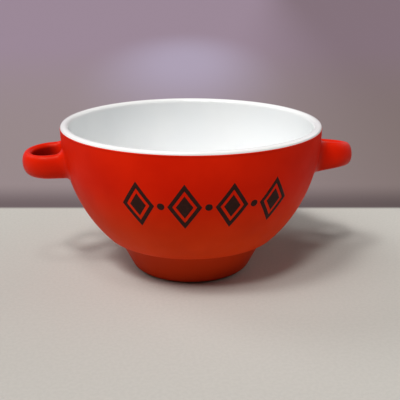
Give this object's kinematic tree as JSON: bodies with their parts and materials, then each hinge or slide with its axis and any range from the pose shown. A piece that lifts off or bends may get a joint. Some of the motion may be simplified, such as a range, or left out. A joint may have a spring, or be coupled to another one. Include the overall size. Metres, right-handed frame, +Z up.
{
  "type": "soup mug",
  "caption": "Wide red soup mug with two small loop handles, a white glazed inside, a low foot ring and a dark printed band of diamonds.",
  "frame": {"origin": "centre of the foot ring's resting face, on the mug's own axis", "axes": "+Z up along the mug's axis, +X out through the right handle, -Y out through the printed front"},
  "size_m": [0.1764, 0.136, 0.0795],
  "materials": {
    "bare_clay": "matte unglazed stoneware",
    "slip_clay": "matte fired slip",
    "white_glaze": "glossy white glaze",
    "red_glaze": "satin red glaze",
    "dark_print": "satin charcoal print fired on to the glaze"
  },
  "bodies": {
    "root": {"bowl_body": "bare_clay", "foot_ring": "bare_clay", "foot_slip": "slip_clay", "left_handle": "bare_clay", "right_handle": "bare_clay", "left_handle_slip": "slip_clay", "right_handle_slip": "slip_clay", "lining_glaze": "white_glaze", "bowl_glaze": "red_glaze", "foot_glaze": "red_glaze", "left_handle_glaze": "red_glaze", "right_handle_glaze": "red_glaze", "base_glaze": "white_glaze", "front_print": "dark_print"}
  },
  "joints": []
}
